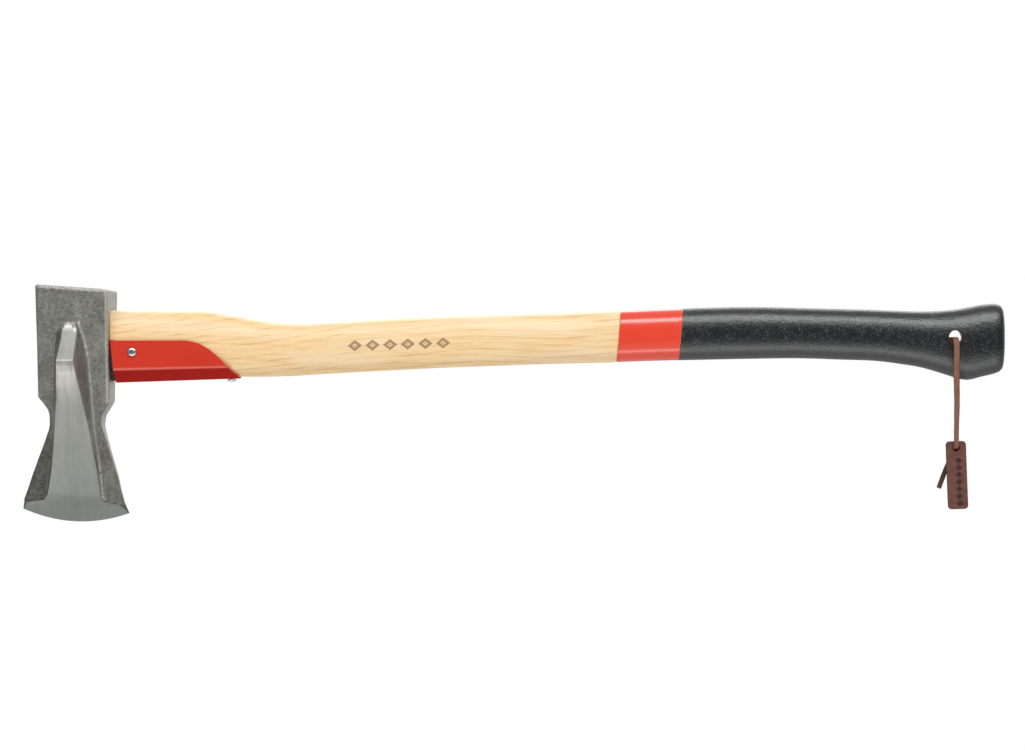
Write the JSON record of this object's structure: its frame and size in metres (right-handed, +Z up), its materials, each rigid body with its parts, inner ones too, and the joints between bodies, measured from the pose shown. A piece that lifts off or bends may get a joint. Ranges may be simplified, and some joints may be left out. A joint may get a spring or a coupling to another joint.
{
  "type": "splitting maul",
  "caption": "Long-handled splitting maul with a winged wedge head, steel handle guard, coated grip and a leather hanging lace with a tag.",
  "frame": {"origin": "centre of the handle's section in the middle of the black grip, where a hand holds it", "axes": "+X along the handle from the head to the butt, +Z up to the poll, the cutting edge down, +Y across the cheeks"},
  "size_m": [0.8494, 0.09, 0.2049],
  "materials": {
    "forged_steel": "blasted grey with ground bright wings and edge",
    "plain_steel": "turned",
    "zinc": "zinc plated",
    "ash": "oiled",
    "wedge_wood": "raw",
    "red_paint": "satin powder coat",
    "red_gloss": "gloss lacquer on wood",
    "black_coat": "grainy anti-slip coat",
    "lace_leather": "rough cut edges",
    "tag_leather": "smooth"
  },
  "bodies": {
    "maul": {"maul_head": "forged_steel", "handle": "ash", "wooden_wedge": "wedge_wood", "ring_wedge": "plain_steel", "handle_guard": "red_paint", "guard_screw_near": "zinc", "guard_screw_far": "zinc", "guard_screw_tip": "zinc", "red_band": "red_gloss", "grip_coating": "black_coat"},
    "lanyard": {"lace_front": "lace_leather", "lace_rear": "lace_leather", "lace_tail_long": "lace_leather", "lace_tail_short": "lace_leather", "lace_knot": "lace_leather"},
    "tag": {"leather_tag": "tag_leather"}
  },
  "joints": [
    {"name": "lanyard_swing", "type": "hinge", "parent": "maul", "child": "lanyard", "pos_m": [0.0975, 0, -0.0023], "axis": [0, 1, 0], "range_deg": [-120, 60]},
    {"name": "tag_pivot", "type": "hinge", "parent": "lanyard", "child": "tag", "pos_m": [0.1007, 0, -0.098], "axis": [0, 1, 0], "range_deg": [-25, 25]}
  ]
}
